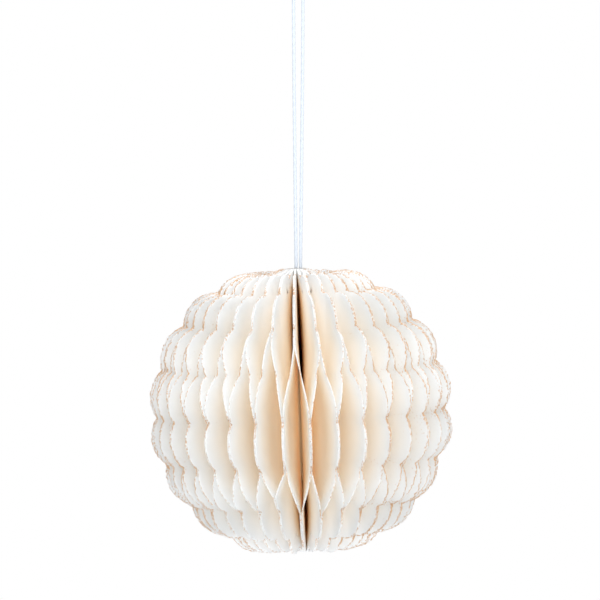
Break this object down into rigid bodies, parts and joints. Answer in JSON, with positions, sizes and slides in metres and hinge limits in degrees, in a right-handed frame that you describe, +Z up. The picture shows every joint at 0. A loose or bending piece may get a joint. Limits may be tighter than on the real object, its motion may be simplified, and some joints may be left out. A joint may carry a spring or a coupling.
{
  "type": "origami paper ball",
  "caption": "Hanging ball of folded paper sheets with scalloped leaves glued into lens-shaped cells, on a doubled cotton cord.",
  "frame": {"origin": "inside the top of the cord's loop, the point that the ball hangs from", "axes": "+Z up along the hanging cord, -Y towards the side that the picture shows, the cord's loop in the XZ plane"},
  "size_m": [0.1491, 0.1486, 0.2843],
  "materials": {
    "paper": "matte",
    "cord": "matte"
  },
  "bodies": {
    "root": {"folded_sheet_01": "paper", "folded_sheet_02": "paper", "folded_sheet_03": "paper", "folded_sheet_04": "paper", "folded_sheet_05": "paper", "folded_sheet_06": "paper", "folded_sheet_07": "paper", "folded_sheet_08": "paper", "folded_sheet_09": "paper", "folded_sheet_10": "paper", "folded_sheet_11": "paper", "folded_sheet_12": "paper", "folded_sheet_13": "paper", "folded_sheet_14": "paper", "folded_sheet_15": "paper", "folded_sheet_16": "paper", "folded_sheet_17": "paper", "folded_sheet_18": "paper", "folded_sheet_19": "paper", "folded_sheet_20": "paper", "folded_sheet_21": "paper", "folded_sheet_22": "paper", "folded_sheet_23": "paper", "folded_sheet_24": "paper", "folded_sheet_25": "paper", "folded_sheet_26": "paper", "folded_sheet_27": "paper", "folded_sheet_28": "paper", "folded_sheet_29": "paper", "folded_sheet_30": "paper", "folded_sheet_31": "paper", "folded_sheet_32": "paper", "folded_sheet_33": "paper", "folded_sheet_34": "paper", "hanging_cord": "cord", "cord_strand_left": "cord", "cord_strand_right": "cord", "cord_knot": "cord"}
  },
  "joints": []
}
